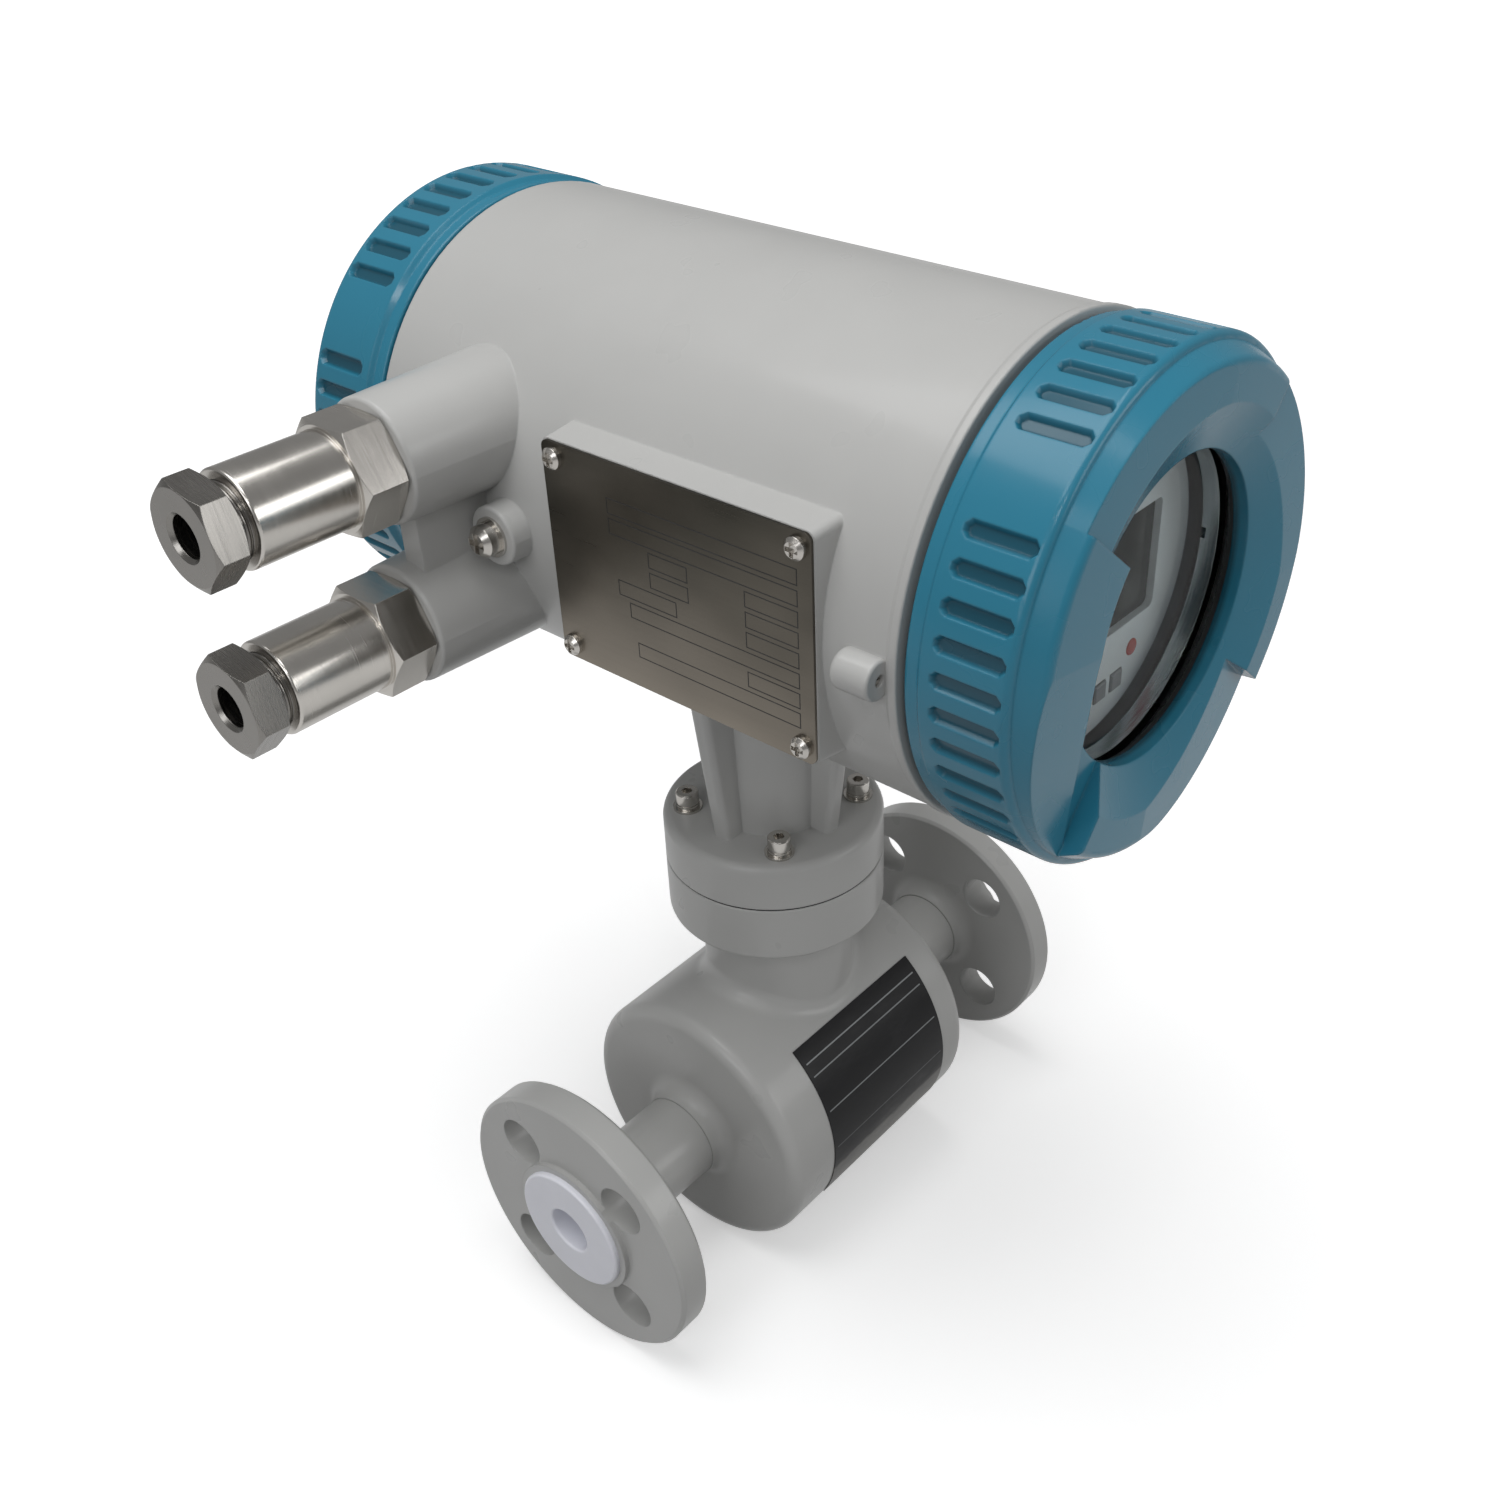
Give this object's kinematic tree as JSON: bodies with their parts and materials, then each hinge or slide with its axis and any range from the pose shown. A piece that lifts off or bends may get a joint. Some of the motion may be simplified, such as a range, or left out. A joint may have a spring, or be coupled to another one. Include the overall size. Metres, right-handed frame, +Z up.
{
  "type": "electromagnetic flow meter",
  "caption": "Flanged electromagnetic flow meter: lined flow tube in a drum-shaped sensor, bolted neck, and a cylindrical converter with screw covers, sight window and cable glands.",
  "frame": {"origin": "centre of the flow tube's bore, midway between the flange faces", "axes": "+X along the pipe, -Y towards the display window, +Z up towards the converter"},
  "size_m": [0.2415, 0.242, 0.3228],
  "materials": {
    "grey_paint": "glossy light grey enamel",
    "tube_paint": "light grey enamel over stainless tube",
    "teal_paint": "glossy blue-green enamel",
    "ptfe": "white PTFE, satin",
    "stainless": "turned stainless steel",
    "fixings": "bright stainless fasteners",
    "nameplate_steel": "brushed stainless sheet",
    "label_black": "black film",
    "black_rubber": "black rubber",
    "sight_glass": "clear toughened glass",
    "bare_aluminium": "machined aluminium",
    "white_plastic": "white moulded plastic",
    "screen_black": "dark liquid crystal screen",
    "lamp_red": "red lens",
    "key_grey": "grey plastic",
    "circuit_board": "green circuit board",
    "posts": "plain aluminium",
    "iron": "electrical steel",
    "winding": "enamelled copper wire",
    "terminal_plastic": "black terminal plastic",
    "terminal_metal": "nickel-plated brass"
  },
  "bodies": {
    "meter": {"measuring_tube": "tube_paint", "inlet_flange": "grey_paint", "outlet_flange": "grey_paint", "liner": "ptfe", "electrode_front": "stainless", "electrode_rear": "stainless", "electrode_bush_front": "ptfe", "electrode_bush_rear": "ptfe", "upper_coil": "winding", "lower_coil": "winding", "upper_pole": "iron", "lower_pole": "iron", "magnet_yoke": "iron", "sensor_housing": "grey_paint", "sensor_label": "label_black", "neck_gasket": "black_rubber", "neck_screws": "fixings", "neck_washers": "fixings", "neck_spring_washers": "fixings", "converter_housing": "grey_paint", "nameplate": "nameplate_steel", "nameplate_screws": "fixings", "ground_screw": "fixings", "ground_washer": "fixings", "ground_spring_washer": "fixings", "cover_lock_screw": "fixings", "display_bezel": "white_plastic", "lcd_module": "screen_black", "indicator_lamp": "lamp_red", "key_switches": "key_grey", "display_board": "circuit_board", "main_board": "circuit_board", "power_board": "circuit_board", "board_posts": "posts", "transformer": "iron", "capacitors": "posts", "terminal_board": "terminal_plastic", "terminal_blocks": "terminal_plastic", "terminal_screws": "terminal_metal", "gland_body_upper": "stainless", "gland_body_lower": "stainless", "gland_seal_upper": "black_rubber", "gland_seal_lower": "black_rubber"},
    "front_seal": {"front_o_ring": "black_rubber"},
    "front_cover": {"front_cover": "teal_paint", "window_gasket": "black_rubber", "window_glass": "sight_glass", "glass_retainer": "bare_aluminium"},
    "rear_seal": {"rear_o_ring": "black_rubber"},
    "rear_cover": {"rear_cover": "teal_paint"},
    "thrust_washer_upper": {"thrust_washer_upper": "stainless"},
    "gland_nut_upper": {"gland_nut_upper": "stainless"},
    "thrust_washer_lower": {"thrust_washer_lower": "stainless"},
    "gland_nut_lower": {"gland_nut_lower": "stainless"},
    "display_key_1": {"display_key_1": "key_grey"},
    "display_key_2": {"display_key_2": "key_grey"},
    "display_key_3": {"display_key_3": "key_grey"},
    "display_key_4": {"display_key_4": "key_grey"}
  },
  "joints": [
    {"name": "front_cover_travel", "type": "slide", "parent": "meter", "child": "front_seal", "axis": [0, -1, 0], "range_m": [0, 0.01]},
    {"name": "front_cover_turn", "type": "hinge", "parent": "front_seal", "child": "front_cover", "pos_m": [0, -0.11, 0.214], "axis": [0, -1, 0], "range_deg": [0, 1800]},
    {"name": "rear_cover_travel", "type": "slide", "parent": "meter", "child": "rear_seal", "axis": [0, 1, 0], "range_m": [0, 0.01]},
    {"name": "rear_cover_turn", "type": "hinge", "parent": "rear_seal", "child": "rear_cover", "pos_m": [0, 0.1, 0.214], "axis": [0, 1, 0], "range_deg": [0, 1800]},
    {"name": "gland_nut_upper_travel", "type": "slide", "parent": "meter", "child": "thrust_washer_upper", "axis": [-1, 0, 0], "range_m": [-0.0015, 0.0045]},
    {"name": "gland_nut_upper_turn", "type": "hinge", "parent": "thrust_washer_upper", "child": "gland_nut_upper", "pos_m": [-0.135, 0.045, 0.2365], "axis": [-1, 0, 0], "range_deg": [-360, 1080]},
    {"name": "gland_nut_lower_travel", "type": "slide", "parent": "meter", "child": "thrust_washer_lower", "axis": [-1, 0, 0], "range_m": [-0.0015, 0.0045]},
    {"name": "gland_nut_lower_turn", "type": "hinge", "parent": "thrust_washer_lower", "child": "gland_nut_lower", "pos_m": [-0.135, 0.045, 0.1915], "axis": [-1, 0, 0], "range_deg": [-360, 1080]},
    {"name": "display_key_1_press", "type": "slide", "parent": "meter", "child": "display_key_1", "axis": [0, 1, 0], "range_m": [0, 0.0006], "stiffness_N_per_m": 600, "springref_m": -0.0004},
    {"name": "display_key_2_press", "type": "slide", "parent": "meter", "child": "display_key_2", "axis": [0, 1, 0], "range_m": [0, 0.0006], "stiffness_N_per_m": 600, "springref_m": -0.0004},
    {"name": "display_key_3_press", "type": "slide", "parent": "meter", "child": "display_key_3", "axis": [0, 1, 0], "range_m": [0, 0.0006], "stiffness_N_per_m": 600, "springref_m": -0.0004},
    {"name": "display_key_4_press", "type": "slide", "parent": "meter", "child": "display_key_4", "axis": [0, 1, 0], "range_m": [0, 0.0006], "stiffness_N_per_m": 600, "springref_m": -0.0004}
  ],
  "couplings": [
    {"joint": "front_cover_travel", "follows": "front_cover_turn", "m_per_rad": 0.00031831},
    {"joint": "rear_cover_travel", "follows": "rear_cover_turn", "m_per_rad": 0.00031831},
    {"joint": "gland_nut_upper_travel", "follows": "gland_nut_upper_turn", "m_per_rad": 0.00023873},
    {"joint": "gland_nut_lower_travel", "follows": "gland_nut_lower_turn", "m_per_rad": 0.00023873}
  ]
}
